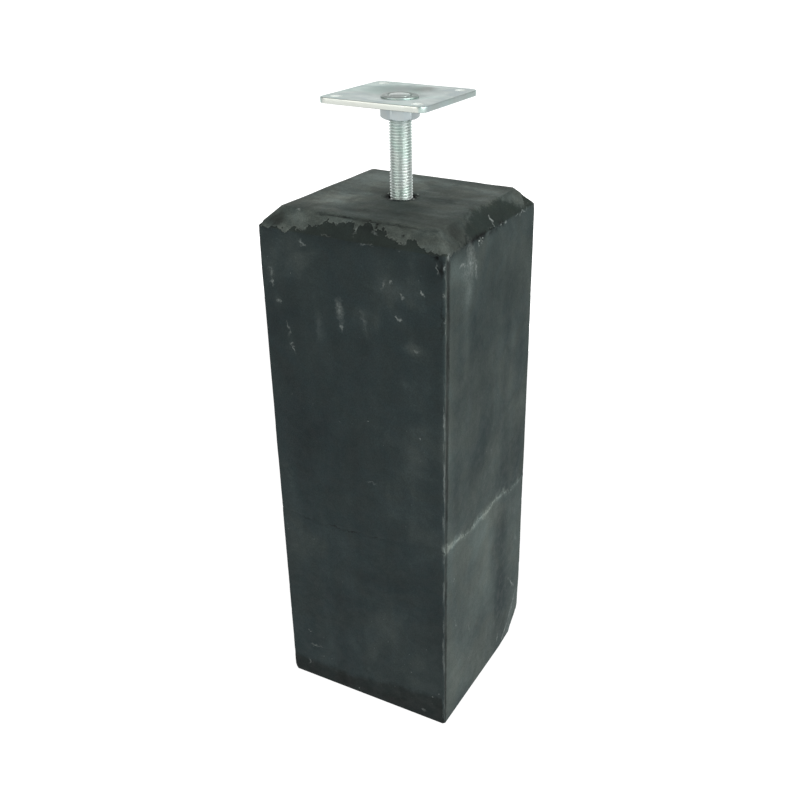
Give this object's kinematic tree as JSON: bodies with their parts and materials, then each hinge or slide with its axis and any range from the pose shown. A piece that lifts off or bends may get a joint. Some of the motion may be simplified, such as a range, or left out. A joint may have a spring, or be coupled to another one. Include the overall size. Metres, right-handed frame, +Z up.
{
  "type": "concrete post footing with adjustable plate",
  "caption": "Square cast concrete footing block with a threaded rod, hex nut and dished steel plate that adjusts in height to carry a timber post.",
  "frame": {"origin": "middle of the concrete block's underside", "axes": "+Z up along the threaded rod, -Y and +X towards the two sides that the picture shows"},
  "size_m": [0.18, 0.18, 0.588],
  "materials": {
    "concrete": "matte",
    "zinc_plated_steel": "satin"
  },
  "bodies": {
    "block": {"concrete_block": "concrete"},
    "head": {"threaded_rod": "zinc_plated_steel", "hex_nut": "zinc_plated_steel", "post_plate": "zinc_plated_steel"}
  },
  "joints": [
    {"name": "height_adjust", "type": "slide", "parent": "block", "child": "head", "axis": [0, 0, 1], "range_m": [-0.06, 0.06]}
  ]
}
